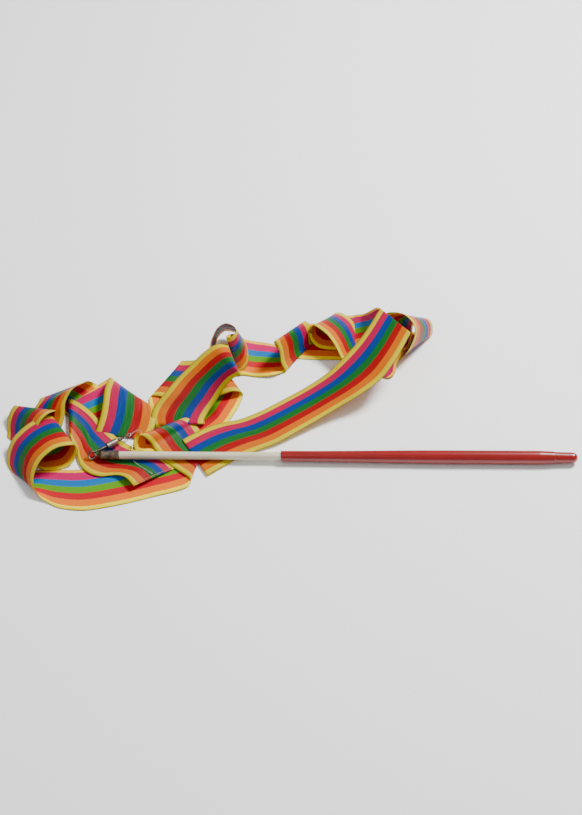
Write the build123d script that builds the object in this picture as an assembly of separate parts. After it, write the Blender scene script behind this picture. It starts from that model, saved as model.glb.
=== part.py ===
from build123d import *
import math
import os

# Rhythmic ribbon wand: a plastic stick with a red grip, a metal tip with a barrel swivel,
# and one long satin ribbon that lies in a loose pile beside the stick.
# Millimetres. +X runs along the stick to its butt, +Z is up. The origin is on the stick's axis,
# at the middle of the grip's belly.

os.makedirs("parts", exist_ok=True)

# Driving dimensions
FLOOR_Z = -5.0              # the grip's belly rests on the floor
STICK_R = 2.85
STICK_TIP_X = -279.0        # inside the ferrule
STICK_BUTT_X = 50.0         # inside the grip
GRIP_FRONT_X = -154.5
GRIP_BUTT_X = 58.6
GRIP_FRONT_R = 3.85
GRIP_BELLY_R = 5.0
GRIP_BELLY_X = (-31.0, 31.5)
GRIP_STEP_X = 41.6
FERRULE_X = (-286.2, -270.5)
FERRULE_R = 3.35
FERRULE_RIM_R = 3.5
FERRULE_NOSE_R = 1.0
FERRULE_NOSE_LENGTH = 3.0
EYE_CENTRE_X = -290.2
EYE_MEAN_R = 2.7
EYE_WIRE_R = 0.55
EYE_ACROSS = Vector(0, 0.743, 0.669)    # the ring's plane holds X and this direction
LINK_ANGLE = 45.0           # where on the ring the swivel hangs, degrees from +X
SWIVEL_DIR = Vector(0.799, 0.600, -0.040).normalized()
SWIVEL_WIRE_R = 0.4
SWIVEL_PLAY = 0.2           # gap between the ring's wire and the swivel's first loop
INNER_LOOP_R = 1.6
INNER_WRAPS = (2.9, 10.2)   # places along the swivel, from the link
BARREL = (10.5, 19.3)
BARREL_R = 2.4
BARREL_CAVITY_R = 1.75
BARREL_WALL = 1.1
BARREL_BORE_R = 0.48
OUTER_WRAPS = (19.6, 23.7)
OUTER_LOOP_AT = 27.0
OUTER_LOOP_R = 3.0
WRAP_PITCH = 0.82
STEM_HEAD_R = 1.15
STEM_HEAD_LENGTH = 1.0
LEADER_R = 0.3
LEADER_BEND_R = 2.0
RIBBON_WIDTH = 38.0
RIBBON_THICKNESS = 0.3
RIBBON_STEPS = 2            # sections between two stations

# The ribbon's way through the pile, from the swivel's end to the cut tail. Each station is
# the edge with the orange stripe, then the edge with the magenta stripe: x, y, height over the floor.
STATIONS = [
    # start, wavy, under the stick
    (-258.5, -28.5, 5.0, -229.0, -8.0, 1.0),
    (-264.5, -21.0, 5.0, -238.0, 1.0, 0.6),
    (-270.5, -17.0, 3.0, -247.0, 5.0, 0.5),
    (-277.0, -16.5, 1.8, -256.5, 9.5, 0.6),
    (-283.0, -17.0, 1.6, -263.5, 13.0, 0.6),
    (-290.5, -14.5, 1.4, -270.5, 17.5, 1.1),
    # up to the left fold
    (-296.5, -9.5, 1.3, -276.0, 22.0, 2.2),
    (-300.0, -3.0, 1.5, -285.0, 31.5, 3.3),
    (-302.0, 6.0, 2.4, -293.0, 41.5, 4.5),
    (-305.0, 12.5, 4.0, -302.0, 49.5, 5.4),
    (-306.5, 16.0, 5.0, -309.0, 53.5, 6.0),
    (-308.0, 18.0, 3.4, -311.5, 55.5, 4.0),
    # back to the right, underneath
    (-306.5, 20.5, 1.3, -309.0, 58.0, 1.5),
    (-299.5, 23.0, 1.1, -304.5, 61.0, 1.3),
    (-287.0, 28.5, 1.1, -300.5, 64.0, 1.6),
    (-274.0, 36.0, 1.1, -294.0, 68.5, 2.0),
    (-261.5, 46.0, 1.3, -286.5, 74.5, 2.4),
    (-254.0, 50.5, 2.2, -282.0, 77.0, 4.0),
    # a roll that comes back over and down
    (-248.0, 47.0, 5.0, -283.0, 68.0, 10.0),
    (-245.5, 42.0, 5.2, -284.5, 60.0, 11.0),
    (-245.5, 34.5, 4.8, -285.0, 49.5, 10.0),
    (-247.0, 27.0, 3.2, -286.0, 37.5, 7.6),
    (-249.5, 21.5, 2.0, -288.0, 28.5, 5.0),
    (-252.0, 18.0, 1.0, -290.0, 24.0, 2.2),
    # beneath the pile to the far side
    (-254.0, 22.0, 0.4, -291.5, 25.5, 0.5),
    (-260.0, 36.0, 0.3, -295.0, 28.5, 0.3),
    (-271.0, 53.0, 0.3, -302.0, 32.0, 0.3),
    (-285.0, 67.0, 0.4, -313.0, 43.0, 0.4),
    (-293.0, 70.0, 5.0, -326.0, 52.0, 2.5),
    (-297.0, 63.0, 15.0, -331.0, 52.0, 8.0),
    # first loop at the far left
    (-299.0, 53.0, 23.5, -332.0, 46.0, 10.5),
    (-306.0, 47.5, 23.5, -335.5, 40.0, 8.0),
    (-311.0, 40.0, 18.0, -338.0, 32.5, 4.0),
    (-312.0, 34.0, 9.5, -341.0, 24.0, 0.9),
    (-314.5, 28.0, 3.0, -345.0, 20.0, 0.6),
    (-318.5, 30.0, 0.6, -352.0, 27.0, 0.5),
    (-320.0, 36.0, 2.0, -355.0, 37.0, 0.9),
    (-318.5, 35.5, 12.0, -352.5, 43.5, 4.0),
    # second loop
    (-317.5, 28.5, 20.5, -349.5, 43.5, 9.5),
    (-322.5, 24.0, 22.0, -352.5, 39.0, 7.5),
    (-328.5, 18.0, 18.0, -354.5, 32.0, 2.5),
    (-332.0, 10.5, 9.0, -353.5, 25.5, 0.7),
    (-333.0, -2.0, 1.6, -352.5, 20.0, 0.5),
    (-324.0, -10.5, 0.5, -344.0, 21.0, 0.4),
    (-306.5, -7.5, 1.2, -327.5, 24.0, 0.5),
    (-300.0, -1.5, 9.0, -321.5, 29.5, 3.0),
    # big front loop
    (-301.0, -1.5, 17.0, -320.0, 30.0, 12.0),
    (-304.0, -4.0, 20.5, -324.5, 28.0, 16.5),
    (-312.5, -7.5, 22.0, -335.0, 22.0, 15.5),
    (-318.5, -11.5, 21.0, -343.0, 16.0, 12.5),
    (-324.0, -16.0, 18.0, -348.5, 10.5, 8.5),
    (-327.5, -21.5, 14.5, -351.5, 3.0, 3.0),
    (-329.0, -27.5, 10.5, -350.5, -6.0, 0.8),
    (-328.0, -33.0, 7.0, -345.5, -13.5, 0.5),
    # along the front, back side up
    (-325.0, -37.0, 3.6, -339.0, -14.0, 0.5),
    (-319.5, -40.5, 1.2, -330.5, -11.0, 0.4),
    (-310.0, -45.5, 0.5, -317.5, -10.0, 0.3),
    (-293.0, -47.5, 0.4, -300.0, -10.0, 0.3),
    (-274.5, -44.0, 0.4, -285.5, -7.5, 0.3),
    (-257.0, -39.0, 0.4, -269.5, -3.0, 0.3),
    (-242.0, -34.0, 0.4, -254.5, 2.0, 0.3),
    (-229.5, -30.0, 0.5, -241.5, 6.0, 0.3),
    (-221.5, -26.5, 0.8, -228.5, 10.5, 0.3),
    # fold, then up to the left under the stick
    (-218.5, -21.0, 1.6, -209.5, 16.0, 0.7),
    (-219.5, -18.5, 2.1, -205.5, 16.5, 0.8),
    (-224.5, -14.0, 2.0, -203.5, 17.5, 0.9),
    (-231.0, -8.5, 1.6, -205.5, 19.5, 0.9),
    (-238.0, -2.0, 1.1, -210.0, 23.5, 0.9),
    (-243.0, 5.0, 1.0, -214.0, 28.5, 1.0),
    # small loop beside the stick
    (-247.5, 11.5, 2.5, -217.0, 33.5, 2.0),
    (-251.0, 13.5, 7.0, -219.5, 35.0, 4.0),
    (-255.0, 15.0, 9.5, -224.0, 36.0, 5.5),
    (-259.0, 15.0, 8.5, -228.5, 34.0, 5.0),
    (-261.0, 12.0, 5.0, -229.0, 31.5, 2.6),
    (-260.0, 9.0, 0.8, -229.0, 31.0, 0.7),
    (-250.0, 7.0, 0.4, -230.0, 38.5, 0.4),
    # hidden turn to the right and away
    (-233.0, 8.0, 0.4, -229.0, 45.5, 0.3),
    (-212.5, 17.0, 0.4, -226.0, 52.0, 0.3),
    (-196.5, 31.0, 0.4, -219.0, 61.5, 0.3),
    (-188.0, 47.0, 0.4, -213.5, 75.0, 0.3),
    (-184.0, 58.0, 0.8, -208.0, 90.0, 0.8),
    (-183.5, 62.0, 4.0, -205.0, 97.0, 6.5),
    # rolled over and back to the left
    (-190.0, 61.0, 7.0, -209.0, 95.0, 9.5),
    (-204.0, 57.5, 4.0, -217.0, 93.5, 6.5),
    (-217.5, 56.5, 2.6, -224.0, 94.0, 4.6),
    (-230.0, 57.0, 1.8, -228.0, 94.5, 3.8),
    (-250.0, 61.0, 1.5, -230.5, 93.5, 3.2),
    (-252.5, 59.0, 0.8, -231.0, 90.5, 1.6),
    # rolled under, towards the viewer, then the horizontal fold
    (-252.5, 55.5, 0.4, -226.0, 82.5, 0.4),
    (-251.5, 48.0, 0.4, -219.5, 68.0, 0.4),
    (-249.0, 39.5, 0.4, -214.5, 55.0, 0.4),
    (-247.0, 33.0, 0.7, -211.5, 43.0, 0.5),
    (-247.0, 30.0, 1.8, -210.5, 34.0, 1.4),
    (-248.5, 31.5, 3.8, -211.0, 32.0, 3.6),
    # the wide band that climbs to the right
    (-249.5, 37.0, 5.6, -210.5, 35.5, 4.6),
    (-247.0, 44.5, 8.6, -207.0, 42.0, 6.8),
    (-239.5, 53.0, 14.0, -201.5, 48.5, 11.5),
    (-231.5, 63.5, 17.5, -195.5, 54.0, 19.5),
    (-222.5, 71.5, 22.0, -190.0, 55.0, 27.0),
    (-211.0, 80.0, 29.5, -186.0, 52.5, 32.5),
    (-202.0, 83.5, 33.5, -184.0, 50.5, 36.0),
    (-195.0, 86.0, 31.0, -184.0, 50.0, 35.5),
    (-196.5, 91.0, 21.5, -186.5, 55.5, 28.5),
    (-199.5, 100.0, 9.0, -190.5, 66.5, 21.5),
    (-203.0, 108.0, 2.0, -199.0, 77.0, 21.0),
    # the upright curl behind it
    (-205.0, 111.0, 1.0, -206.5, 81.5, 24.5),
    (-204.5, 114.0, 2.0, -207.5, 86.0, 28.5),
    (-203.5, 118.0, 3.6, -206.0, 92.0, 31.5),
    (-200.5, 121.5, 5.4, -202.0, 98.5, 35.5),
    (-197.0, 123.5, 6.2, -196.5, 101.0, 37.5),
    (-189.5, 121.0, 6.4, -191.0, 99.0, 37.5),
    (-183.0, 113.5, 6.0, -188.5, 95.0, 38.0),
    (-180.0, 103.0, 4.5, -188.5, 91.0, 38.5),
    (-180.0, 94.0, 3.0, -190.5, 87.5, 38.5),
    (-183.0, 87.5, 1.6, -193.5, 86.0, 38.0),
    (-186.5, 85.0, 0.8, -195.5, 87.0, 37.5),
    # folded under itself, then flat and back side up
    (-186.5, 84.5, 0.4, -194.0, 91.0, 35.5),
    (-186.0, 84.0, 0.4, -191.5, 97.5, 30.0),
    (-185.0, 83.0, 0.4, -188.5, 106.0, 20.5),
    (-183.0, 83.0, 0.4, -186.0, 113.0, 11.0),
    (-180.0, 82.5, 0.4, -182.5, 117.0, 4.0),
    (-174.0, 81.5, 0.6, -175.5, 117.5, 1.2),
    (-167.0, 81.0, 1.6, -167.0, 116.5, 0.8),
    (-161.0, 81.5, 2.4, -158.0, 114.5, 0.6),
    (-157.0, 83.5, 2.0, -147.0, 115.0, 0.5),
    (-153.5, 85.5, 1.2, -137.5, 117.0, 0.5),
    # short leaning loop
    (-152.0, 86.0, 2.0, -131.5, 117.5, 0.8),
    (-155.0, 88.0, 8.5, -132.0, 118.0, 2.0),
    (-156.0, 91.0, 15.0, -132.5, 120.0, 8.5),
    (-157.5, 92.5, 21.0, -134.0, 121.5, 14.0),
    (-159.5, 94.5, 25.0, -136.5, 123.0, 17.5),
    (-160.5, 99.0, 19.0, -139.5, 129.0, 10.5),
    (-157.5, 102.0, 9.5, -139.5, 134.5, 3.5),
    (-150.5, 102.5, 3.4, -137.0, 137.5, 0.8),
    # flat, back side up, to the right end
    (-142.0, 100.5, 0.5, -133.5, 137.5, 0.4),
    (-127.0, 99.5, 0.4, -122.5, 137.5, 0.4),
    (-111.0, 99.5, 0.4, -110.0, 137.5, 0.4),
    (-93.0, 99.0, 0.4, -92.5, 137.0, 0.4),
    (-78.0, 96.5, 0.8, -74.0, 134.5, 0.4),
    (-70.0, 94.5, 4.0, -58.5, 130.5, 0.4),
    (-64.0, 93.5, 10.5, -46.5, 125.0, 0.6),
    # loop at the right end
    (-60.0, 95.5, 17.0, -41.5, 124.5, 1.5),
    (-56.5, 100.0, 24.0, -40.5, 127.0, 4.0),
    (-56.0, 103.5, 30.5, -41.0, 129.5, 8.5),
    (-59.0, 107.0, 35.5, -44.0, 131.5, 12.0),
    (-64.5, 111.5, 37.5, -49.5, 132.0, 12.5),
    (-72.0, 117.0, 34.0, -55.0, 130.0, 8.0),
    (-78.5, 124.0, 24.0, -56.5, 119.5, 3.0),
    (-84.0, 125.5, 13.0, -59.0, 107.5, 6.0),
    (-89.5, 120.0, 5.0, -63.5, 99.0, 10.0),
    (-95.5, 110.0, 1.4, -68.5, 91.5, 6.0),
    (-99.0, 99.5, 1.0, -70.5, 83.5, 2.4),
    (-101.0, 91.0, 1.2, -76.0, 80.5, 1.2),
    (-104.5, 86.5, 5.0, -82.5, 89.5, 1.2),
    (-106.5, 86.0, 10.0, -89.0, 106.0, 1.2),
    # the middle loop
    (-110.5, 90.0, 13.0, -95.5, 120.5, 2.0),
    (-115.0, 99.0, 16.5, -98.0, 130.0, 2.4),
    (-121.0, 107.5, 19.5, -101.0, 137.5, 3.4),
    (-127.5, 113.0, 21.0, -105.0, 141.5, 4.6),
    (-132.0, 118.0, 18.5, -110.0, 145.5, 4.0),
    (-134.5, 119.0, 12.0, -114.0, 147.5, 2.0),
    (-133.0, 114.5, 6.0, -116.5, 144.5, 1.2),
    (-127.5, 110.0, 3.0, -114.0, 144.5, 1.0),
    (-118.5, 109.0, 1.6, -108.5, 145.5, 1.0),
    (-107.0, 108.5, 2.4, -101.5, 145.5, 1.2),
    (-94.5, 107.0, 7.5, -98.0, 144.0, 4.0),
    (-83.0, 104.5, 16.5, -93.5, 139.5, 9.0),
    (-71.5, 99.5, 27.5, -88.5, 132.0, 20.0),
    (-64.0, 95.5, 35.0, -84.5, 126.0, 29.5),
    # over the peak and down the long band
    (-60.0, 93.0, 37.0, -81.5, 123.0, 32.0),
    (-62.5, 87.5, 35.0, -84.0, 118.0, 31.0),
    (-67.5, 78.0, 32.0, -90.0, 108.0, 27.5),
    (-74.0, 68.0, 28.0, -98.0, 97.0, 23.0),
    (-81.5, 59.5, 23.0, -108.0, 86.5, 18.0),
    (-94.5, 50.5, 18.0, -120.5, 76.0, 11.5),
    (-109.5, 43.0, 12.5, -137.0, 66.0, 6.0),
    (-125.5, 34.0, 8.0, -153.5, 57.0, 2.4),
    (-142.0, 23.5, 5.5, -170.0, 46.0, 1.8),
    (-157.0, 14.0, 3.6, -185.0, 38.0, 1.8),
    # under the stick to the cut tail
    (-172.0, 7.5, 2.0, -199.5, 34.0, 1.8),
    (-184.5, 1.0, 1.6, -209.5, 29.5, 1.8),
    (-196.0, -7.5, 1.6, -218.0, 24.0, 1.9),
    (-207.0, -16.0, 1.6, -226.0, 18.0, 1.9),
]

# The clear line from the swivel to the ribbon's start: a loose turn, then under the stick.
LEADER_TURNS = [
    (-262.2, 21.0, 0.0),
    (-258.8, 25.0, 0.3),
    (-254.8, 22.5, -0.2),
    (-258.5, 17.5, -1.2),
    (-262.8, 8.0, -2.6),
    (-261.5, 0.0, -3.38),
    (-258.0, -7.0, -1.2),
    (-246.5, -15.8, -0.9),
]


def at(x, r):
    # A point of a turned outline: x along the stick, r from its axis.
    return (x, 0, r)


def turned(outline):
    return revolve(make_face(Polyline(*outline, close=True)), Axis.X)


def save(solid, name):
    export_step(solid, f"parts/{name}.step")
    print(name, "volume", round(solid.volume, 2), "valid", solid.is_valid)


# Stick: one rod from inside the ferrule to inside the grip's closed end
stick = Plane.YZ.offset(STICK_TIP_X) * Cylinder(
    STICK_R, STICK_BUTT_X - STICK_TIP_X, align=(Align.CENTER, Align.CENTER, Align.MIN)
)
save(stick, "stick")

# Grip: a sleeve that swells to the belly and narrows to a round closed end
mouth_r = 0.5
end_r = 3.85
belly_front = GRIP_BELLY_X[0]
belly_rear = GRIP_BELLY_X[1]
with BuildSketch(Plane.XZ) as grip_outline:
    with BuildLine():
        Line((GRIP_FRONT_X, STICK_R), (GRIP_FRONT_X, GRIP_FRONT_R - mouth_r))
        RadiusArc((GRIP_FRONT_X, GRIP_FRONT_R - mouth_r), (GRIP_FRONT_X + mouth_r, GRIP_FRONT_R), mouth_r)
        Spline(
            (GRIP_FRONT_X + mouth_r, GRIP_FRONT_R),
            (-95.0, 4.35),
            (belly_front, GRIP_BELLY_R),
            tangents=[(1, 0), (1, 0)],
        )
        Line((belly_front, GRIP_BELLY_R), (belly_rear, GRIP_BELLY_R))
        Line((belly_rear, GRIP_BELLY_R), (GRIP_STEP_X, 4.5))
        Line((GRIP_STEP_X, 4.5), (GRIP_STEP_X + 0.4, 4.2))
        Line((GRIP_STEP_X + 0.4, 4.2), (GRIP_BUTT_X - end_r, end_r))
        RadiusArc((GRIP_BUTT_X - end_r, end_r), (GRIP_BUTT_X, 0), end_r)
        Line((GRIP_BUTT_X, 0), (STICK_BUTT_X, 0))
        Line((STICK_BUTT_X, 0), (STICK_BUTT_X, STICK_R))
        Line((STICK_BUTT_X, STICK_R), (GRIP_FRONT_X, STICK_R))
    make_face()
grip = revolve(grip_outline.sketch, Axis.X)
save(grip, "grip_sleeve")

# Ferrule: a crimped metal cap with a tapered nose, fine grooves and a raised rim
nose_end = FERRULE_X[0] + FERRULE_NOSE_LENGTH
inner_end = FERRULE_X[0] + 3.2
groove_depth = 0.12
groove_pitch = 0.9
outline = [at(FERRULE_X[0], EYE_WIRE_R), at(FERRULE_X[0], FERRULE_NOSE_R), at(nose_end, FERRULE_R)]
x = nose_end + 1.0
while x < FERRULE_X[1] - 2.4:
    outline += [at(x, FERRULE_R), at(x + 0.15, FERRULE_R - groove_depth)]
    outline += [at(x + 0.35, FERRULE_R - groove_depth), at(x + 0.5, FERRULE_R)]
    x += groove_pitch
outline += [
    at(FERRULE_X[1] - 1.4, FERRULE_R),
    at(FERRULE_X[1] - 1.2, FERRULE_RIM_R),
    at(FERRULE_X[1] - 0.2, FERRULE_RIM_R),
    at(FERRULE_X[1], FERRULE_R),
    at(FERRULE_X[1], STICK_R),
    at(inner_end, STICK_R),
    at(inner_end, EYE_WIRE_R),
]
ferrule = turned(outline)
save(ferrule, "ferrule")

# Plug: the metal core between the ferrule's nose and the stick's end, bored for the eye's stem
plug = turned([
    at(inner_end, EYE_WIRE_R),
    at(inner_end, STICK_R),
    at(STICK_TIP_X, STICK_R),
    at(STICK_TIP_X, EYE_WIRE_R),
])
save(plug, "ferrule_plug")

# Tip eye: a wire ring on a stem that runs back through the nose and the plug
eye_centre = Vector(EYE_CENTRE_X, 0, 0)
eye_normal = Vector(1, 0, 0).cross(EYE_ACROSS)
eye_plane = Plane(eye_centre, x_dir=(1, 0, 0), z_dir=eye_normal)
stem_start = EYE_CENTRE_X + EYE_MEAN_R
stem = Plane.YZ.offset(stem_start) * Cylinder(
    EYE_WIRE_R, STICK_TIP_X - stem_start, align=(Align.CENTER, Align.CENTER, Align.MIN)
)
tip_eye = eye_plane * Torus(EYE_MEAN_R, EYE_WIRE_R) + stem
save(tip_eye, "tip_eye")

# Swivel: everything on it is placed along SWIVEL_DIR from the link on the tip eye
link_angle = math.radians(LINK_ANGLE)
link = eye_centre + Vector(1, 0, 0) * EYE_MEAN_R * math.cos(link_angle)
link = link + EYE_ACROSS * EYE_MEAN_R * math.sin(link_angle)
ring_tangent = EYE_ACROSS * math.cos(link_angle) - Vector(1, 0, 0) * math.sin(link_angle)
swing_axis = (ring_tangent - SWIVEL_DIR * ring_tangent.dot(SWIVEL_DIR)).normalized()


def along(distance):
    # A plane across the swivel at this distance from the link.
    return Plane(link + SWIVEL_DIR * distance, x_dir=swing_axis, z_dir=SWIVEL_DIR)


def rod(radius, start, end):
    return along(start) * Cylinder(radius, end - start, align=(Align.CENTER, Align.CENTER, Align.MIN))


def loop(radius, distance):
    plane = Plane(link + SWIVEL_DIR * distance, x_dir=SWIVEL_DIR, z_dir=swing_axis)
    return plane * Torus(radius, SWIVEL_WIRE_R)


def wraps(start, end):
    # The wire's end wound closely round its own stem.
    wound = rod(SWIVEL_WIRE_R, start, end)
    turns = int((end - start) / WRAP_PITCH)
    for turn in range(turns):
        place = start + (turn + 0.5) * (end - start) / turns
        wound += along(place) * Torus(SWIVEL_WIRE_R * 1.9, SWIVEL_WIRE_R)
    return wound


inner_centre = INNER_LOOP_R - (EYE_WIRE_R + SWIVEL_PLAY + SWIVEL_WIRE_R)
inner_neck = rod(SWIVEL_WIRE_R, inner_centre + INNER_LOOP_R, BARREL[0] + BARREL_WALL + 0.3)
inner_head = rod(STEM_HEAD_R, BARREL[0] + BARREL_WALL + 0.3, BARREL[0] + BARREL_WALL + 0.3 + STEM_HEAD_LENGTH)
inner_eye = loop(INNER_LOOP_R, inner_centre) + wraps(*INNER_WRAPS) + inner_neck + inner_head
save(inner_eye, "swivel_inner_eye")

barrel_mid = (BARREL[0] + BARREL[1]) / 2
barrel_length = BARREL[1] - BARREL[0]
barrel = along(barrel_mid) * Cylinder(BARREL_R, barrel_length)
barrel = fillet(barrel.edges(), 0.6)
barrel -= along(barrel_mid) * Cylinder(BARREL_CAVITY_R, barrel_length - 2 * BARREL_WALL)
barrel -= along(barrel_mid) * Cylinder(BARREL_BORE_R, barrel_length + 2)
save(barrel, "swivel_barrel")

outer_neck_start = BARREL[1] - BARREL_WALL - 0.3
outer_neck = rod(SWIVEL_WIRE_R, outer_neck_start, OUTER_LOOP_AT - OUTER_LOOP_R)
outer_head = rod(STEM_HEAD_R, outer_neck_start - STEM_HEAD_LENGTH, outer_neck_start)
outer_eye = loop(OUTER_LOOP_R, OUTER_LOOP_AT) + wraps(*OUTER_WRAPS) + outer_neck + outer_head
save(outer_eye, "swivel_outer_eye")

# Knot of the clear line on the outer eye: a small loop round the wire and a bead on the axis
knot_loop_r = 1.0
knot_r = 0.75
eye_end = OUTER_LOOP_AT + OUTER_LOOP_R
knot_plane = Plane(link + SWIVEL_DIR * eye_end, x_dir=SWIVEL_DIR, z_dir=swing_axis.cross(SWIVEL_DIR))
knot = knot_plane * Torus(knot_loop_r, LEADER_R)
knot += along(eye_end + knot_loop_r + 0.5) * Sphere(knot_r)
save(knot, "leader_knot_swivel")

# Clear line: straight runs and bends of one radius
leader_path = FilletPolyline(*LEADER_TURNS, radius=LEADER_BEND_R)
leader = sweep(Plane(leader_path @ 0, z_dir=leader_path % 0) * Circle(LEADER_R), path=leader_path)
save(leader, "leader_line")
print("leader_line radius", LEADER_R, "length", round(leader_path.length, 1))


# Ribbon
def curve_point(before, start, end, after, share):
    # Centripetal Catmull-Rom curve through the stations, on both edges at once.
    def knot_step(a, b):
        return math.sqrt(math.dist(a, b)) + 1e-6

    t1 = knot_step(before, start)
    t2 = t1 + knot_step(start, end)
    t3 = t2 + knot_step(end, after)
    t = t1 + (t2 - t1) * share

    def mix(a, b, ta, tb):
        return tuple(p + (q - p) * (t - ta) / (tb - ta) for p, q in zip(a, b))

    a1 = mix(before, start, 0, t1)
    a2 = mix(start, end, t1, t2)
    a3 = mix(end, after, t2, t3)
    b1 = mix(a1, a2, 0, t2)
    b2 = mix(a2, a3, t1, t3)
    return mix(b1, b2, t1, t2)


first = tuple(2 * p - q for p, q in zip(STATIONS[0], STATIONS[1]))
last = tuple(2 * p - q for p, q in zip(STATIONS[-1], STATIONS[-2]))
stations = [first, *STATIONS, last]
sections = []
for i in range(1, len(stations) - 2):
    for step in range(RIBBON_STEPS):
        share = step / RIBBON_STEPS
        sections.append(curve_point(stations[i - 1], stations[i], stations[i + 1], stations[i + 2], share))
sections.append(STATIONS[-1])

lowest = RIBBON_THICKNESS / 2 + 0.05
orange = [Vector(s[0], s[1], max(s[2], lowest) + FLOOR_Z) for s in sections]
magenta = [Vector(s[3], s[4], max(s[5], lowest) + FLOOR_Z) for s in sections]
middle = [(o + m) * 0.5 for o, m in zip(orange, magenta)]
corners = []
for i in range(len(sections)):
    travel = middle[min(i + 1, len(sections) - 1)] - middle[max(i - 1, 0)]
    up = (magenta[i] - orange[i]).cross(travel).normalized() * (RIBBON_THICKNESS / 2)
    corners.append((orange[i] + up, magenta[i] + up, magenta[i] - up, orange[i] - up))

faces = [
    Face(Wire.make_polygon(corners[0][:3])),
    Face(Wire.make_polygon((corners[0][2], corners[0][3], corners[0][0]))),
    Face(Wire.make_polygon(corners[-1][:3])),
    Face(Wire.make_polygon((corners[-1][2], corners[-1][3], corners[-1][0]))),
]
for here, there in zip(corners, corners[1:]):
    for side in range(4):
        a, b = here[side], here[(side + 1) % 4]
        c, d = there[(side + 1) % 4], there[side]
        if side == 2:           # the underside is split the same way as the face above it
            a, b, c, d = b, c, d, a
        faces.append(Face(Wire.make_polygon((a, b, c))))
        faces.append(Face(Wire.make_polygon((a, c, d))))
ribbon = Solid(Shell(faces))
save(ribbon, "ribbon")

# Hem: a thread sewn across the ribbon's start, and the line's knot that sits on it
thread_r = 0.2
hem_at = 0.25               # share of the way from the first section to the second
hem_up = (magenta[0] - orange[0]).cross(middle[1] - middle[0]).normalized()
lift = hem_up * (RIBBON_THICKNESS / 2 + thread_r)
hem_from = orange[0] + (orange[1] - orange[0]) * hem_at
hem_to = magenta[0] + (magenta[1] - magenta[0]) * hem_at
hem_across = (hem_to - hem_from).normalized()
hem_start = hem_from + hem_across * 2.0 + lift
hem = Plane(hem_start, z_dir=hem_across) * Cylinder(
    thread_r, (hem_to - hem_from).length - 4.0, align=(Align.CENTER, Align.CENTER, Align.MIN)
)
save(hem, "hem_stitching")

ribbon_knot_r = 0.8
knot_on_hem = Vector(*LEADER_TURNS[-1])
ribbon_knot = Pos(*knot_on_hem) * Sphere(ribbon_knot_r)
save(ribbon_knot - leader, "leader_knot_ribbon")
print("hem middle", (hem_from + hem_to) * 0.5 + lift, "knot", knot_on_hem)
ribbon_length = sum((b - a).length for a, b in zip(middle, middle[1:]))
print("ribbon width", RIBBON_WIDTH, "middle length", round(ribbon_length, 1), "lowest", round(ribbon.bounding_box().min.Z, 2))
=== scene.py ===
import bpy
import bmesh
import math
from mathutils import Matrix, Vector


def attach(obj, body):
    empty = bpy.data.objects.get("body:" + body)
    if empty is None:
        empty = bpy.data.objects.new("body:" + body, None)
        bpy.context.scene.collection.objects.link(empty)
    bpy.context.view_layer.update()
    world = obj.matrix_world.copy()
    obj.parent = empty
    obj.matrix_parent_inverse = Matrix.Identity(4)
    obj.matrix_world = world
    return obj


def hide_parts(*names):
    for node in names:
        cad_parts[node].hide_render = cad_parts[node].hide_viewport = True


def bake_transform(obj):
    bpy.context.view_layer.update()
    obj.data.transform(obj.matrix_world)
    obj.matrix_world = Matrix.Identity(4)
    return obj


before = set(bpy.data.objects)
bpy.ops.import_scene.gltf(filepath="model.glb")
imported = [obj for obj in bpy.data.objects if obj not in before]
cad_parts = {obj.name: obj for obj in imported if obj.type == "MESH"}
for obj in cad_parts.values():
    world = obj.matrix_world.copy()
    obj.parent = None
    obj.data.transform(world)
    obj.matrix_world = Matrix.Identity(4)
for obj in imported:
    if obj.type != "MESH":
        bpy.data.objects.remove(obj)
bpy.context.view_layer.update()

# Rhythmic ribbon wand. Metres, in the CAD part's own frame.
MM = 0.001
FLOOR_Z = -0.005
RIBBON_WIDTH = 0.038
RIBBON_THICKNESS = 0.00025
RIBBON_STEPS = 8            # sections between two stations
RIBBON_COLUMNS = 14         # faces across the ribbon
RIBBON_LOWEST = 0.2         # millimetres over the floor, for the middle of the cloth
KNOT_GAP = 1e-6             # keeps two equal stations from dividing by zero

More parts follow.
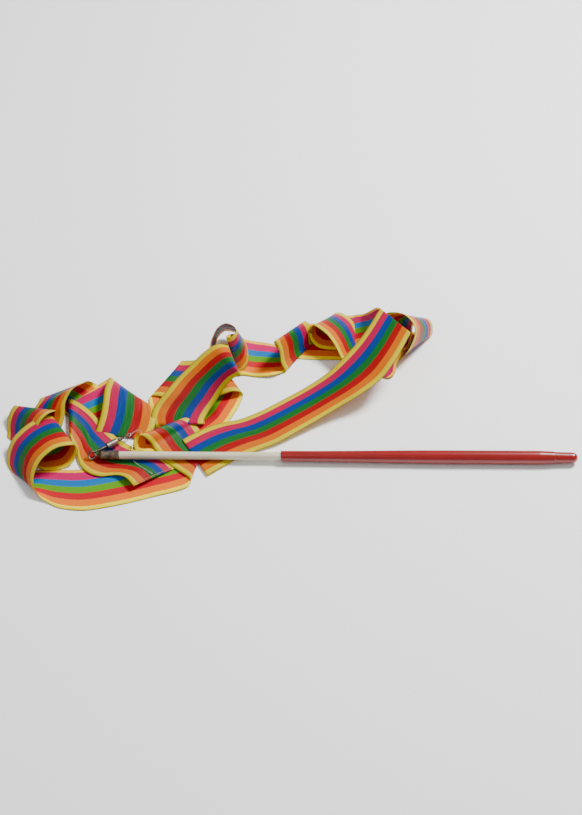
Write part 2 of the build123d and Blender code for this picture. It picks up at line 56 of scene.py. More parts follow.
# The ribbon's way through the pile, from the swivel's end to the cut tail, in millimetres.
# Each station is the edge with the orange stripe, then the edge with the magenta stripe:
# x, y, height over the floor.
STATIONS = [
    # start, wavy, under the stick
    (-258.5, -28.5, 5.0, -229.0, -8.0, 1.0),
    (-264.5, -21.0, 5.0, -238.0, 1.0, 0.6),
    (-270.5, -17.0, 3.0, -247.0, 5.0, 0.5),
    (-277.0, -16.5, 1.8, -256.5, 9.5, 0.6),
    (-283.0, -17.0, 1.6, -263.5, 13.0, 0.6),
    (-290.5, -14.5, 1.4, -270.5, 17.5, 1.1),
    # up to the left fold
    (-296.5, -9.5, 1.3, -276.0, 22.0, 2.2),
    (-300.0, -3.0, 1.5, -285.0, 31.5, 3.3),
    (-302.0, 6.0, 2.4, -293.0, 41.5, 4.5),
    (-305.0, 12.5, 4.0, -302.0, 49.5, 5.4),
    (-306.5, 16.0, 5.0, -309.0, 53.5, 6.0),
    (-308.0, 18.0, 3.4, -311.5, 55.5, 4.0),
    # back to the right, underneath
    (-306.5, 20.5, 1.3, -309.0, 58.0, 1.5),
    (-299.5, 23.0, 1.1, -304.5, 61.0, 1.3),
    (-287.0, 28.5, 1.1, -300.5, 64.0, 1.6),
    (-274.0, 36.0, 1.1, -294.0, 68.5, 2.0),
    (-261.5, 46.0, 1.3, -286.5, 74.5, 2.4),
    (-254.0, 50.5, 2.2, -282.0, 77.0, 4.0),
    # a roll that comes back over and down
    (-248.0, 47.0, 5.0, -283.0, 68.0, 10.0),
    (-245.5, 42.0, 5.2, -284.5, 60.0, 11.0),
    (-245.5, 34.5, 4.8, -285.0, 49.5, 10.0),
    (-247.0, 27.0, 3.2, -286.0, 37.5, 7.6),
    (-249.5, 21.5, 2.0, -288.0, 28.5, 5.0),
    (-252.0, 18.0, 1.0, -290.0, 24.0, 2.2),
    # beneath the pile to the far side
    (-254.0, 22.0, 0.4, -291.5, 25.5, 0.5),
    (-260.0, 36.0, 0.3, -295.0, 28.5, 0.3),
    (-271.0, 53.0, 0.3, -302.0, 32.0, 0.3),
    (-285.0, 67.0, 0.4, -313.0, 43.0, 0.4),
    (-293.0, 70.0, 5.0, -326.0, 52.0, 2.5),
    (-297.0, 63.0, 15.0, -331.0, 52.0, 8.0),
    # first loop at the far left
    (-299.0, 53.0, 23.5, -332.0, 46.0, 10.5),
    (-306.0, 47.5, 23.5, -335.5, 40.0, 8.0),
    (-311.0, 40.0, 18.0, -338.0, 32.5, 4.0),
    (-312.0, 34.0, 9.5, -341.0, 24.0, 0.9),
    (-314.5, 28.0, 3.0, -345.0, 20.0, 0.6),
    (-318.5, 30.0, 0.6, -352.0, 27.0, 0.5),
    (-320.0, 36.0, 2.0, -355.0, 37.0, 0.9),
    (-318.5, 35.5, 12.0, -352.5, 43.5, 4.0),
    # second loop
    (-317.5, 28.5, 20.5, -349.5, 43.5, 9.5),
    (-322.5, 24.0, 22.0, -352.5, 39.0, 7.5),
    (-328.5, 18.0, 18.0, -354.5, 32.0, 2.5),
    (-332.0, 10.5, 9.0, -353.5, 25.5, 0.7),
    (-333.0, -2.0, 1.6, -352.5, 20.0, 0.5),
    (-324.0, -10.5, 0.5, -344.0, 21.0, 0.4),
    (-306.5, -7.5, 1.2, -327.5, 24.0, 0.5),
    (-300.0, -1.5, 9.0, -321.5, 29.5, 3.0),
    # big front loop
    (-301.0, -1.5, 17.0, -320.0, 30.0, 12.0),
    (-304.0, -4.0, 20.5, -324.5, 28.0, 16.5),
    (-312.5, -7.5, 22.0, -335.0, 22.0, 15.5),
    (-318.5, -11.5, 21.0, -343.0, 16.0, 12.5),
    (-324.0, -16.0, 18.0, -348.5, 10.5, 8.5),
    (-327.5, -21.5, 14.5, -351.5, 3.0, 3.0),
    (-329.0, -27.5, 10.5, -350.5, -6.0, 0.8),
    (-328.0, -33.0, 7.0, -345.5, -13.5, 0.5),
    # along the front, back side up
    (-325.0, -37.0, 3.6, -339.0, -14.0, 0.5),
    (-319.5, -40.5, 1.2, -330.5, -11.0, 0.4),
    (-310.0, -45.5, 0.5, -317.5, -10.0, 0.3),
    (-293.0, -47.5, 0.4, -300.0, -10.0, 0.3),
    (-274.5, -44.0, 0.4, -285.5, -7.5, 0.3),
    (-257.0, -39.0, 0.4, -269.5, -3.0, 0.3),
    (-242.0, -34.0, 0.4, -254.5, 2.0, 0.3),
    (-229.5, -30.0, 0.5, -241.5, 6.0, 0.3),
    (-221.5, -26.5, 0.8, -228.5, 10.5, 0.3),
    # fold, then up to the left under the stick
    (-218.5, -21.0, 1.6, -209.5, 16.0, 0.7),
    (-219.5, -18.5, 2.1, -205.5, 16.5, 0.8),
    (-224.5, -14.0, 2.0, -203.5, 17.5, 0.9),
    (-231.0, -8.5, 1.6, -205.5, 19.5, 0.9),
    (-238.0, -2.0, 1.1, -210.0, 23.5, 0.9),
    (-243.0, 5.0, 1.0, -214.0, 28.5, 1.0),
    # small loop beside the stick
    (-247.5, 11.5, 2.5, -217.0, 33.5, 2.0),
    (-251.0, 13.5, 7.0, -219.5, 35.0, 4.0),
    (-255.0, 15.0, 9.5, -224.0, 36.0, 5.5),
    (-259.0, 15.0, 8.5, -228.5, 34.0, 5.0),
    (-261.0, 12.0, 5.0, -229.0, 31.5, 2.6),
    (-260.0, 9.0, 0.8, -229.0, 31.0, 0.7),
    (-250.0, 7.0, 0.4, -230.0, 38.5, 0.4),
    # hidden turn to the right and away
    (-233.0, 8.0, 0.4, -229.0, 45.5, 0.3),
    (-212.5, 17.0, 0.4, -226.0, 52.0, 0.3),
    (-196.5, 31.0, 0.4, -219.0, 61.5, 0.3),
    (-188.0, 47.0, 0.4, -213.5, 75.0, 0.3),
    (-184.0, 58.0, 0.8, -208.0, 90.0, 0.8),
    (-183.5, 62.0, 4.0, -205.0, 97.0, 6.5),
    # rolled over and back to the left
    (-190.0, 61.0, 7.0, -209.0, 95.0, 9.5),
    (-204.0, 57.5, 4.0, -217.0, 93.5, 6.5),
    (-217.5, 56.5, 2.6, -224.0, 94.0, 4.6),
    (-230.0, 57.0, 1.8, -228.0, 94.5, 3.8),
    (-250.0, 61.0, 1.5, -230.5, 93.5, 3.2),
    (-252.5, 59.0, 0.8, -231.0, 90.5, 1.6),
    # rolled under, towards the viewer, then the horizontal fold
    (-252.5, 55.5, 0.4, -226.0, 82.5, 0.4),
    (-251.5, 48.0, 0.4, -219.5, 68.0, 0.4),
    (-249.0, 39.5, 0.4, -214.5, 55.0, 0.4),
    (-247.0, 33.0, 0.7, -211.5, 43.0, 0.5),
    (-247.0, 30.0, 1.8, -210.5, 34.0, 1.4),
    (-248.5, 31.5, 3.8, -211.0, 32.0, 3.6),
    # the wide band that climbs to the right
    (-249.5, 37.0, 5.6, -210.5, 35.5, 4.6),
    (-247.0, 44.5, 8.6, -207.0, 42.0, 6.8),
    (-239.5, 53.0, 14.0, -201.5, 48.5, 11.5),
    (-231.5, 63.5, 17.5, -195.5, 54.0, 19.5),
    (-222.5, 71.5, 22.0, -190.0, 55.0, 27.0),
    (-211.0, 80.0, 29.5, -186.0, 52.5, 32.5),
    (-202.0, 83.5, 33.5, -184.0, 50.5, 36.0),
    (-195.0, 86.0, 31.0, -184.0, 50.0, 35.5),
    (-196.5, 91.0, 21.5, -186.5, 55.5, 28.5),
    (-199.5, 100.0, 9.0, -190.5, 66.5, 21.5),
    (-203.0, 108.0, 2.0, -199.0, 77.0, 21.0),
    # the upright curl behind it
    (-205.0, 111.0, 1.0, -206.5, 81.5, 24.5),
    (-204.5, 114.0, 2.0, -207.5, 86.0, 28.5),
    (-203.5, 118.0, 3.6, -206.0, 92.0, 31.5),
    (-200.5, 121.5, 5.4, -202.0, 98.5, 35.5),
    (-197.0, 123.5, 6.2, -196.5, 101.0, 37.5),
    (-189.5, 121.0, 6.4, -191.0, 99.0, 37.5),
    (-183.0, 113.5, 6.0, -188.5, 95.0, 38.0),
    (-180.0, 103.0, 4.5, -188.5, 91.0, 38.5),
    (-180.0, 94.0, 3.0, -190.5, 87.5, 38.5),
    (-183.0, 87.5, 1.6, -193.5, 86.0, 38.0),
    (-186.5, 85.0, 0.8, -195.5, 87.0, 37.5),
    # folded under itself, then flat and back side up
    (-186.5, 84.5, 0.4, -194.0, 91.0, 35.5),
    (-186.0, 84.0, 0.4, -191.5, 97.5, 30.0),
    (-185.0, 83.0, 0.4, -188.5, 106.0, 20.5),
    (-183.0, 83.0, 0.4, -186.0, 113.0, 11.0),
    (-180.0, 82.5, 0.4, -182.5, 117.0, 4.0),
    (-174.0, 81.5, 0.6, -175.5, 117.5, 1.2),
    (-167.0, 81.0, 1.6, -167.0, 116.5, 0.8),
    (-161.0, 81.5, 2.4, -158.0, 114.5, 0.6),
    (-157.0, 83.5, 2.0, -147.0, 115.0, 0.5),
    (-153.5, 85.5, 1.2, -137.5, 117.0, 0.5),
    # short leaning loop
    (-152.0, 86.0, 2.0, -131.5, 117.5, 0.8),
    (-155.0, 88.0, 8.5, -132.0, 118.0, 2.0),
    (-156.0, 91.0, 15.0, -132.5, 120.0, 8.5),
    (-157.5, 92.5, 21.0, -134.0, 121.5, 14.0),
    (-159.5, 94.5, 25.0, -136.5, 123.0, 17.5),
    (-160.5, 99.0, 19.0, -139.5, 129.0, 10.5),
    (-157.5, 102.0, 9.5, -139.5, 134.5, 3.5),
    (-150.5, 102.5, 3.4, -137.0, 137.5, 0.8),
    # flat, back side up, to the right end
    (-142.0, 100.5, 0.5, -133.5, 137.5, 0.4),
    (-127.0, 99.5, 0.4, -122.5, 137.5, 0.4),
    (-111.0, 99.5, 0.4, -110.0, 137.5, 0.4),
    (-93.0, 99.0, 0.4, -92.5, 137.0, 0.4),
    (-78.0, 96.5, 0.8, -74.0, 134.5, 0.4),
    (-70.0, 94.5, 4.0, -58.5, 130.5, 0.4),
    (-64.0, 93.5, 10.5, -46.5, 125.0, 0.6),
    # loop at the right end
    (-60.0, 95.5, 17.0, -41.5, 124.5, 1.5),
    (-56.5, 100.0, 24.0, -40.5, 127.0, 4.0),
    (-56.0, 103.5, 30.5, -41.0, 129.5, 8.5),
    (-59.0, 107.0, 35.5, -44.0, 131.5, 12.0),
    (-64.5, 111.5, 37.5, -49.5, 132.0, 12.5),
    (-72.0, 117.0, 34.0, -55.0, 130.0, 8.0),
    (-78.5, 124.0, 24.0, -56.5, 119.5, 3.0),
    (-84.0, 125.5, 13.0, -59.0, 107.5, 6.0),
    (-89.5, 120.0, 5.0, -63.5, 99.0, 10.0),
    (-95.5, 110.0, 1.4, -68.5, 91.5, 6.0),
    (-99.0, 99.5, 1.0, -70.5, 83.5, 2.4),
    (-101.0, 91.0, 1.2, -76.0, 80.5, 1.2),
    (-104.5, 86.5, 5.0, -82.5, 89.5, 1.2),
    (-106.5, 86.0, 10.0, -89.0, 106.0, 1.2),
    # the middle loop
    (-110.5, 90.0, 13.0, -95.5, 120.5, 2.0),
    (-115.0, 99.0, 16.5, -98.0, 130.0, 2.4),
    (-121.0, 107.5, 19.5, -101.0, 137.5, 3.4),
    (-127.5, 113.0, 21.0, -105.0, 141.5, 4.6),
    (-132.0, 118.0, 18.5, -110.0, 145.5, 4.0),
    (-134.5, 119.0, 12.0, -114.0, 147.5, 2.0),
    (-133.0, 114.5, 6.0, -116.5, 144.5, 1.2),
    (-127.5, 110.0, 3.0, -114.0, 144.5, 1.0),
    (-118.5, 109.0, 1.6, -108.5, 145.5, 1.0),
    (-107.0, 108.5, 2.4, -101.5, 145.5, 1.2),
    (-94.5, 107.0, 7.5, -98.0, 144.0, 4.0),
    (-83.0, 104.5, 16.5, -93.5, 139.5, 9.0),
    (-71.5, 99.5, 27.5, -88.5, 132.0, 20.0),
    (-64.0, 95.5, 35.0, -84.5, 126.0, 29.5),
    # over the peak and down the long band
    (-60.0, 93.0, 37.0, -81.5, 123.0, 32.0),
    (-62.5, 87.5, 35.0, -84.0, 118.0, 31.0),
    (-67.5, 78.0, 32.0, -90.0, 108.0, 27.5),
    (-74.0, 68.0, 28.0, -98.0, 97.0, 23.0),
    (-81.5, 59.5, 23.0, -108.0, 86.5, 18.0),
    (-94.5, 50.5, 18.0, -120.5, 76.0, 11.5),
    (-109.5, 43.0, 12.5, -137.0, 66.0, 6.0),
    (-125.5, 34.0, 8.0, -153.5, 57.0, 2.4),
    (-142.0, 23.5, 5.5, -170.0, 46.0, 1.8),
    (-157.0, 14.0, 3.6, -185.0, 38.0, 1.8),
    # under the stick to the cut tail
    (-172.0, 7.5, 2.0, -199.5, 34.0, 1.8),
    (-184.5, 1.0, 1.6, -209.5, 29.5, 1.8),
    (-196.0, -7.5, 1.6, -218.0, 24.0, 1.9),
    (-207.0, -16.0, 1.6, -226.0, 18.0, 1.9),
]

# The clear line's route, in metres
LEADER_RADIUS = 0.0003
LEADER_POINTS = [
    (-0.2622, 0.0210, 0.0),
    (-0.2588, 0.0250, 0.0003),
    (-0.2548, 0.0225, -0.0002),
    (-0.2585, 0.0175, -0.0012),
    (-0.2628, 0.0080, -0.0026),
    (-0.2615, 0.0, -0.00338),
    (-0.2580, -0.0070, -0.0012),
    (-0.2465, -0.0158, -0.0009),
]

# Stripes across the ribbon: where each ends, from the orange edge, and its colour (linear)
FACE_STRIPES = [
    (0.115, (0.50, 0.385, 0.0)),
    (0.27, (0.47, 0.100, 0.0)),
    (0.425, (0.27, 0.0015, 0.003)),
    (0.58, (0.005, 0.095, 0.012)),
    (0.735, (0.0008, 0.030, 0.175)),
    (0.885, (0.34, 0.002, 0.045)),
    (1.0, (0.50, 0.385, 0.0)),
]
BACK_STRIPES = [
    (0.10, (0.86, 0.66, 0.002)),
    (0.26, (0.70, 0.14, 0.004)),
    (0.42, (0.44, 0.004, 0.012)),
    (0.58, (0.080, 0.26, 0.004)),
    (0.74, (0.0, 0.12, 0.36)),
    (0.93, (0.44, 0.002, 0.090)),
    (1.0, (0.80, 0.42, 0.006)),
]
STRIPE_BLUR = 0.006         # half the share of the width over which two stripes meet
SELVEDGE_START = 0.478      # from the middle, as a share of the width
SELVEDGE_END = 0.498
SELVEDGE_TONE = 0.45


def new_material(name):
    material = bpy.data.materials.new(name)
    material.use_nodes = True
    tree = material.node_tree
    return material, tree, tree.nodes["Principled BSDF"]


def set_sockets(node, values):
    for key, value in values.items():
        node.inputs[key].default_value = value


def add_node(tree, kind, sockets=None, **properties):
    node = tree.nodes.new(kind)
    for key, value in properties.items():
        setattr(node, key, value)
    set_sockets(node, sockets or {})
    return node


def texture(tree, kind, vector, sockets, **properties):
    node = add_node(tree, kind, sockets, **properties)
    tree.links.new(vector, node.inputs["Vector"])
    return node.outputs["Fac"]


def mapped(tree, vector, scale, turn=0.0):
    sockets = {"Scale": scale, "Rotation": (0.0, 0.0, turn)}
    node = add_node(tree, "ShaderNodeMapping", sockets)
    tree.links.new(vector, node.inputs["Vector"])
    return node.outputs[0]


def math_node(tree, operation, a, b):
    node = add_node(tree, "ShaderNodeMath", operation=operation)
    for socket, value in zip(node.inputs, (a, b)):
        if isinstance(value, (int, float)):
            socket.default_value = value
        else:
            tree.links.new(value, socket)
    return node.outputs[0]


def scaled(tree, value, factor, offset):
    return math_node(tree, "ADD", math_node(tree, "MULTIPLY", value, factor), offset)


def two_tone(tree, factor, dark, light, dark_at=0.0, light_at=1.0):
    ramp = tree.nodes.new("ShaderNodeValToRGB")
    first, last = ramp.color_ramp.elements
    first.position = dark_at
    first.color = (*dark, 1.0)
    last.position = light_at
    last.color = (*light, 1.0)
    tree.links.new(factor, ramp.inputs[0])
    return ramp.outputs["Color"]


def bump_node(tree, height, strength, distance):
    node = add_node(tree, "ShaderNodeBump", {"Strength": strength, "Distance": distance})
    tree.links.new(height, node.inputs["Height"])
    return node


def stripe_colours(tree, across, stripes):
    ramp = tree.nodes.new("ShaderNodeValToRGB")
    ramp.color_ramp.interpolation = "LINEAR"
    elements = ramp.color_ramp.elements
    elements[0].position = 0.0
    elements[0].color = (*stripes[0][1], 1.0)
    elements[1].position = 1.0
    elements[1].color = (*stripes[-1][1], 1.0)
    for (end, colour), (_, following) in zip(stripes, stripes[1:]):
        elements.new(end - STRIPE_BLUR).color = (*colour, 1.0)
        elements.new(end + STRIPE_BLUR).color = (*following, 1.0)
    tree.links.new(across, ramp.inputs[0])
    return ramp.outputs["Color"]


def ribbon_material(name, stripes, edge_wobble, roughness, shimmer):
    # Satin: lengthwise stripes, woven threads, and a silky highlight.
    material, tree, shader = new_material(name)
    links = tree.links
    uv = add_node(tree, "ShaderNodeUVMap", uv_map="ribbon").outputs["UV"]
    split = tree.nodes.new("ShaderNodeSeparateXYZ")
    links.new(uv, split.inputs[0])

    # Stripe boundaries wander slightly, as dyed yarns do
    wobble = texture(tree, "ShaderNodeTexNoise", uv, {"Scale": 900.0, "Detail": 2.0})
    centred = math_node(tree, "SUBTRACT", wobble, 0.5)
    shift = math_node(tree, "MULTIPLY", centred, edge_wobble)
    width_share = math_node(tree, "MULTIPLY", split.outputs["Y"], 1.0 / RIBBON_WIDTH)
    across = math_node(tree, "ADD", width_share, shift)
    colour = stripe_colours(tree, across, stripes)

    # Threads: fine lines along the ribbon, finer ones across it
    along_threads = mapped(tree, uv, scale=(30.0, 2600.0, 1.0))
    threads = texture(tree, "ShaderNodeTexNoise", along_threads, {"Scale": 1.0, "Detail": 4.0})
    weave = texture(
        tree, "ShaderNodeTexWave", uv,
        {"Scale": 900.0, "Distortion": 2.0, "Detail": 1.0}, bands_direction="X",
    )

    # Slow drift of tone along the length, as handling leaves it
    drift = texture(tree, "ShaderNodeTexNoise", uv, {"Scale": 28.0, "Detail": 3.0})
    thread_tone = scaled(tree, threads, factor=0.34, offset=0.83)
    drift_tone = scaled(tree, drift, factor=0.22, offset=0.89)
    tone = math_node(tree, "MULTIPLY", thread_tone, drift_tone)

    # The woven edges are denser, so darker
    from_middle = math_node(tree, "ABSOLUTE", math_node(tree, "SUBTRACT", across, 0.5), 0.0)
    selvedge = add_node(tree, "ShaderNodeMapRange", {
        "From Min": SELVEDGE_START,
        "From Max": SELVEDGE_END,
        "To Min": 1.0,
        "To Max": SELVEDGE_TONE,
    })
    links.new(from_middle, selvedge.inputs["Value"])
    tone = math_node(tree, "MULTIPLY", tone, selvedge.outputs["Result"])
    tint = add_node(tree, "ShaderNodeVectorMath", operation="SCALE")
    links.new(colour, tint.inputs[0])
    links.new(tone, tint.inputs["Scale"])
    links.new(tint.outputs[0], shader.inputs["Base Color"])

    rough = scaled(tree, threads, factor=0.16, offset=roughness)
    links.new(rough, shader.inputs["Roughness"])
    set_sockets(shader, {
        "Specular IOR Level": shimmer,
        "Anisotropic": 0.55,
        "Sheen Weight": 0.03,
        "Sheen Roughness": 0.35,
    })
    tangent = add_node(tree, "ShaderNodeTangent", direction_type="UV_MAP", uv_map="ribbon")
    links.new(tangent.outputs[0], shader.inputs["Tangent"])

    # Relief of the threads and the weave
    height = math_node(tree, "ADD", threads, math_node(tree, "MULTIPLY", weave, 0.35))
    cloth = bump_node(tree, height, strength=0.3, distance=0.0001)

    # Soft creases that run along and slantwise, as in cloth that has been folded up
    slant = mapped(tree, uv, scale=(38.0, 190.0, 1.0), turn=0.22)
    creases = texture(
        tree, "ShaderNodeTexNoise", slant, {"Scale": 1.0, "Detail": 3.0, "Distortion": 0.6})
    folds = bump_node(tree, creases, strength=0.55, distance=0.0014)
    links.new(cloth.outputs[0], folds.inputs["Normal"])
    links.new(folds.outputs[0], shader.inputs["Normal"])
    return material


def plastic_material(name, light, dark, roughness, grain_scale, grain_depth, coat, see_through=0.0):
    # Moulded plastic: cloudy colour, a fine grain, and a thin gloss over it.
    material, tree, shader = new_material(name)
    links = tree.links
    place = tree.nodes.new("ShaderNodeTexCoord").outputs["Object"]
    cloud = texture(tree, "ShaderNodeTexNoise", place, {"Scale": 60.0, "Detail": 4.0})
    grain = texture(tree, "ShaderNodeTexNoise", place, {"Scale": grain_scale, "Detail": 5.0})
    colour = two_tone(tree, cloud, dark, light, dark_at=0.3, light_at=0.7)
    links.new(colour, shader.inputs["Base Color"])
    rough = scaled(tree, grain, factor=0.12, offset=roughness)
    links.new(rough, shader.inputs["Roughness"])
    set_sockets(shader, {"Coat Weight": coat, "Coat Roughness": 0.12})
    if see_through:
        set_sockets(shader, {
            "Subsurface Weight": see_through,
            "Subsurface Radius": (0.004, 0.0035, 0.0025),
            "Subsurface Scale": 1.0,
        })
    bump = bump_node(tree, grain, strength=grain_depth, distance=0.0001)
    links.new(bump.outputs[0], shader.inputs["Normal"])
    return material


def metal_material(name, light, dark, roughness, stretch):
    # Plated metal with fine turning or drawing marks and dull patches.
    material, tree, shader = new_material(name)
    links = tree.links
    place = tree.nodes.new("ShaderNodeTexCoord").outputs["Object"]
    drawn = mapped(tree, place, stretch)
    marks = texture(tree, "ShaderNodeTexNoise", drawn, {"Scale": 900.0, "Detail": 4.0})
    patches = texture(tree, "ShaderNodeTexNoise", place, {"Scale": 350.0, "Detail": 3.0})
    colour = two_tone(tree, patches, dark, light, dark_at=0.35, light_at=0.68)
    links.new(colour, shader.inputs["Base Color"])
    rough = scaled(tree, marks, factor=0.2, offset=roughness)
    links.new(rough, shader.inputs["Roughness"])
    set_sockets(shader, {"Metallic": 1.0})
    bump = bump_node(tree, marks, strength=0.2, distance=0.00005)
    links.new(bump.outputs[0], shader.inputs["Normal"])
    return material


def line_material():
    # Clear nylon line
    material, tree, shader = new_material("clear_nylon")
    links = tree.links
    place = tree.nodes.new("ShaderNodeTexCoord").outputs["Object"]
    haze = texture(tree, "ShaderNodeTexNoise", place, {"Scale": 700.0})
    colour = two_tone(tree, haze, dark=(0.80, 0.84, 0.82), light=(0.95, 0.97, 0.95))
    links.new(colour, shader.inputs["Base Color"])
    rough = scaled(tree, haze, factor=0.1, offset=0.05)
    links.new(rough, shader.inputs["Roughness"])
    set_sockets(shader, {"Transmission Weight": 0.85, "IOR": 1.53})
    return material


def thread_material():
    # Twisted sewing thread
    material, tree, shader = new_material("hem_thread")
    links = tree.links
    place = tree.nodes.new("ShaderNodeTexCoord").outputs["Object"]
    twist = texture(
        tree, "ShaderNodeTexWave", place, {"Scale": 1500.0}, bands_direction="DIAGONAL")
    colour = two_tone(tree, twist, dark=(0.22, 0.12, 0.012), light=(0.40, 0.24, 0.03))
    links.new(colour, shader.inputs["Base Color"])
    set_sockets(shader, {"Roughness": 0.7})
    bump = bump_node(tree, twist, strength=0.6, distance=0.0001)
    links.new(bump.outputs[0], shader.inputs["Normal"])
    return material


def curve_point(before, start, end, after, share):
    # Centripetal Catmull-Rom curve through the stations, on both edges at once.
    t1 = math.sqrt(math.dist(before, start)) + KNOT_GAP
    t2 = t1 + math.sqrt(math.dist(start, end)) + KNOT_GAP
    t3 = t2 + math.sqrt(math.dist(end, after)) + KNOT_GAP
    t = t1 + (t2 - t1) * share

    def mix(a, b, ta, tb):
        return tuple(p + (q - p) * (t - ta) / (tb - ta) for p, q in zip(a, b))

    a1 = mix(before, start, 0, t1)
    a2 = mix(start, end, t1, t2)
    a3 = mix(end, after, t2, t3)
    return mix(mix(a1, a2, 0, t2), mix(a2, a3, t1, t3), t1, t2)


def edge_point(x, y, height):
    return Vector((x, y, max(height, RIBBON_LOWEST))) * MM + Vector((0, 0, FLOOR_Z))


def ribbon_edges():
    # The orange edge's points, and the magenta edge's.
    first = tuple(2 * p - q for p, q in zip(STATIONS[0], STATIONS[1]))
    last = tuple(2 * p - q for p, q in zip(STATIONS[-1], STATIONS[-2]))
    stations = [first, *STATIONS, last]
    edges = []
    for i in range(1, len(stations) - 2):
        for step in range(RIBBON_STEPS):
            edges.append(curve_point(*stations[i - 1:i + 3], step / RIBBON_STEPS))
    edges.append(STATIONS[-1])
    return [edge_point(*s[:3]) for s in edges], [edge_point(*s[3:]) for s in edges]


def make_ribbon():
    orange, magenta = ribbon_edges()
    middle = [(o + m) * 0.5 for o, m in zip(orange, magenta)]
    bm = bmesh.new()
    uv = bm.loops.layers.uv.new("ribbon")
    rows = []
    places = []
    along = 0.0
    for i, (o, m) in enumerate(zip(orange, magenta)):
        if i:
            along += (middle[i] - middle[i - 1]).length
        shares = [column / RIBBON_COLUMNS for column in range(RIBBON_COLUMNS + 1)]
        rows.append([bm.verts.new(o.lerp(m, share)) for share in shares])
        places.append(along)
    for i in range(len(rows) - 1):
        for column in range(RIBBON_COLUMNS):
            spots = [(i, column), (i, column + 1), (i + 1, column + 1), (i + 1, column)]
            face = bm.faces.new([rows[row][place] for row, place in spots])
            face.smooth = True
            for corner, (row, place) in zip(face.loops, spots):
                corner[uv].uv = (places[row], place / RIBBON_COLUMNS * RIBBON_WIDTH)
    mesh = bpy.data.meshes.new("ribbon_satin")
    bm.to_mesh(mesh)
    bm.free()
    ribbon = bpy.data.objects.new("ribbon_satin", mesh)
    bpy.context.collection.objects.link(ribbon)
    mesh.materials.append(ribbon_material(
        "satin_face", FACE_STRIPES, edge_wobble=0.010, roughness=0.38, shimmer=0.16))
    mesh.materials.append(ribbon_material(
        "satin_back", BACK_STRIPES, edge_wobble=0.035, roughness=0.50, shimmer=0.12))
    shell = ribbon.modifiers.new("thickness", "SOLIDIFY")
    shell.thickness = RIBBON_THICKNESS
    shell.offset = 0.0
    shell.material_offset = 1
    shell.use_rim = True
    return ribbon


def fresh_mesh(source):
    depsgraph = bpy.context.evaluated_depsgraph_get()
    depsgraph.update()
    return bpy.data.meshes.new_from_object(source.evaluated_get(depsgraph))


def make_leader():
    # The line is a curve first, and a mesh after; the curve's points are kept as its path.
    curve = bpy.data.curves.new("clear_leader_route", "CURVE")
    curve.dimensions = "3D"
    curve.resolution_u = 12
    spline = curve.splines.new("NURBS")
    spline.points.add(len(LEADER_POINTS) - 1)
    for point, place in zip(spline.points, LEADER_POINTS):
        point.co = (*place, 1.0)
    spline.order_u = 3
    spline.use_endpoint_u = True
    route = bpy.data.objects.new("clear_leader_route", curve)
    bpy.context.collection.objects.link(route)
    path = [tuple(v.co) for v in fresh_mesh(route).vertices]
    curve.bevel_depth = LEADER_RADIUS
    curve.bevel_resolution = 4
    curve.use_fill_caps = True
    mesh = fresh_mesh(route)
    bpy.data.objects.remove(route)
    leader = bpy.data.objects.new("clear_leader", mesh)
    bpy.context.collection.objects.link(leader)
    mesh.materials.clear()
    mesh.materials.append(clear_nylon)
    for face in mesh.polygons:
        face.use_smooth = True
    return leader, path


def set_material(node, material):
    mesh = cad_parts[node]
    mesh.data.materials.clear()
    mesh.data.materials.append(material)


# Materials of the rigid pieces
EVENLY = (1.0, 1.0, 1.0)
ALONG_X = (0.2, 1.0, 1.0)
nickel = metal_material(
    "dull_nickel", light=(0.28, 0.24, 0.20), dark=(0.11, 0.09, 0.07),
    roughness=0.26, stretch=EVENLY,
)
ferrule_metal = metal_material(
    "ferrule_metal", light=(0.22, 0.17, 0.13), dark=(0.10, 0.075, 0.055),
    roughness=0.34, stretch=ALONG_X,
)
barrel_metal = metal_material(
    "turned_barrel", light=(0.42, 0.38, 0.32), dark=(0.20, 0.17, 0.14),
    roughness=0.24, stretch=EVENLY,
)
stick_plastic = plastic_material(
    "cream_plastic", light=(0.60, 0.56, 0.41), dark=(0.52, 0.48, 0.34),
    roughness=0.34, grain_scale=1800.0, grain_depth=0.12, coat=0.15, see_through=0.3,
)
grip_plastic = plastic_material(
    "red_plastic", light=(0.24, 0.0006, 0.0008), dark=(0.20, 0.0005, 0.0006),
    roughness=0.18, grain_scale=1500.0, grain_depth=0.08, coat=0.35,
)
clear_nylon = line_material()
hem_thread = thread_material()
for node in ("tip_eye", "swivel_inner_eye", "swivel_outer_eye", "ferrule_plug"):
    set_material(node, nickel)
set_material("ferrule", ferrule_metal)
set_material("swivel_barrel", barrel_metal)
set_material("stick", stick_plastic)
set_material("grip_sleeve", grip_plastic)
set_material("hem_stitching", hem_thread)
set_material("leader_knot_swivel", clear_nylon)
set_material("leader_knot_ribbon", clear_nylon)

# The ribbon and the clear line
ribbon = make_ribbon()
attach(ribbon, "wand")
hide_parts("ribbon")

leader, leader_path = make_leader()
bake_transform(leader)
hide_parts("leader_line")

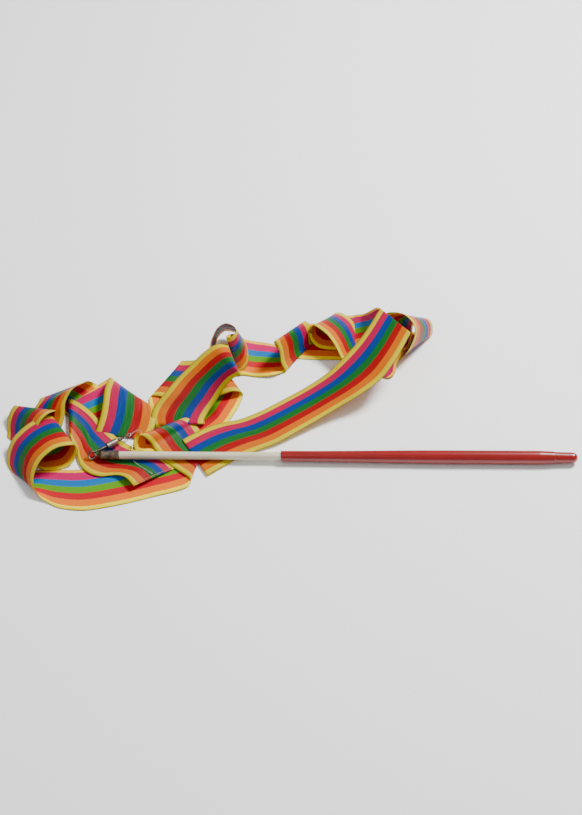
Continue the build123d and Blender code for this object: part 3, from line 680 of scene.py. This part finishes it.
# Floor, light and camera
FLOOR_REACH = 3.0
FLOOR_CORNERS = [(-1, -1), (1, -1), (1, 1), (-1, 1)]
floor_mesh = bpy.data.meshes.new("studio_floor")
floor_mesh.from_pydata(
    [(x * FLOOR_REACH, y * FLOOR_REACH, FLOOR_Z) for x, y in FLOOR_CORNERS],
    [],
    [(0, 1, 2, 3)],
)
floor = bpy.data.objects.new("studio_floor", floor_mesh)
bpy.context.collection.objects.link(floor)
floor_material, _, floor_shader = new_material("pale_floor")
set_sockets(floor_shader, {"Base Color": (0.92, 0.92, 0.92, 1.0), "Roughness": 0.9})
floor_mesh.materials.append(floor_material)

WORLD_STRENGTH = 0.45
world = bpy.data.worlds.new("studio")
bpy.context.scene.world = world
world.use_nodes = True
set_sockets(world.node_tree.nodes["Background"], {
    "Color": (1.0, 1.0, 1.0, 1.0),
    "Strength": WORLD_STRENGTH,
})


def area_light(name, place, target, size, power):
    data = bpy.data.lights.new(name, "AREA")
    data.shape = "DISK"
    data.size = size
    data.energy = power
    light = bpy.data.objects.new(name, data)
    light.location = place
    light.rotation_euler = (Vector(target) - Vector(place)).to_track_quat("-Z", "Y").to_euler()
    bpy.context.collection.objects.link(light)


AIM = Vector((-0.1475, 0.0515, FLOOR_Z))
area_light("key", (0.55, 0.55, 1.2), AIM, size=0.45, power=46.0)
area_light("fill", (-0.7, -0.6, 1.2), AIM, size=1.2, power=4.0)

CAMERA_ELEVATION = math.radians(48.0)
CAMERA_AZIMUTH = math.radians(-0.4)
CAMERA_DISTANCE = 1.5
camera_data = bpy.data.cameras.new("camera")
camera_data.lens = 90.0
camera_data.sensor_width = 36.0
camera_data.clip_start = 0.01
camera = bpy.data.objects.new("camera", camera_data)
out = Vector((
    -math.sin(CAMERA_AZIMUTH) * math.cos(CAMERA_ELEVATION),
    -math.cos(CAMERA_AZIMUTH) * math.cos(CAMERA_ELEVATION),
    math.sin(CAMERA_ELEVATION),
))
camera.location = AIM + out * CAMERA_DISTANCE
camera.rotation_euler = (-out).to_track_quat("-Z", "Y").to_euler()
bpy.context.collection.objects.link(camera)
bpy.context.scene.camera = camera
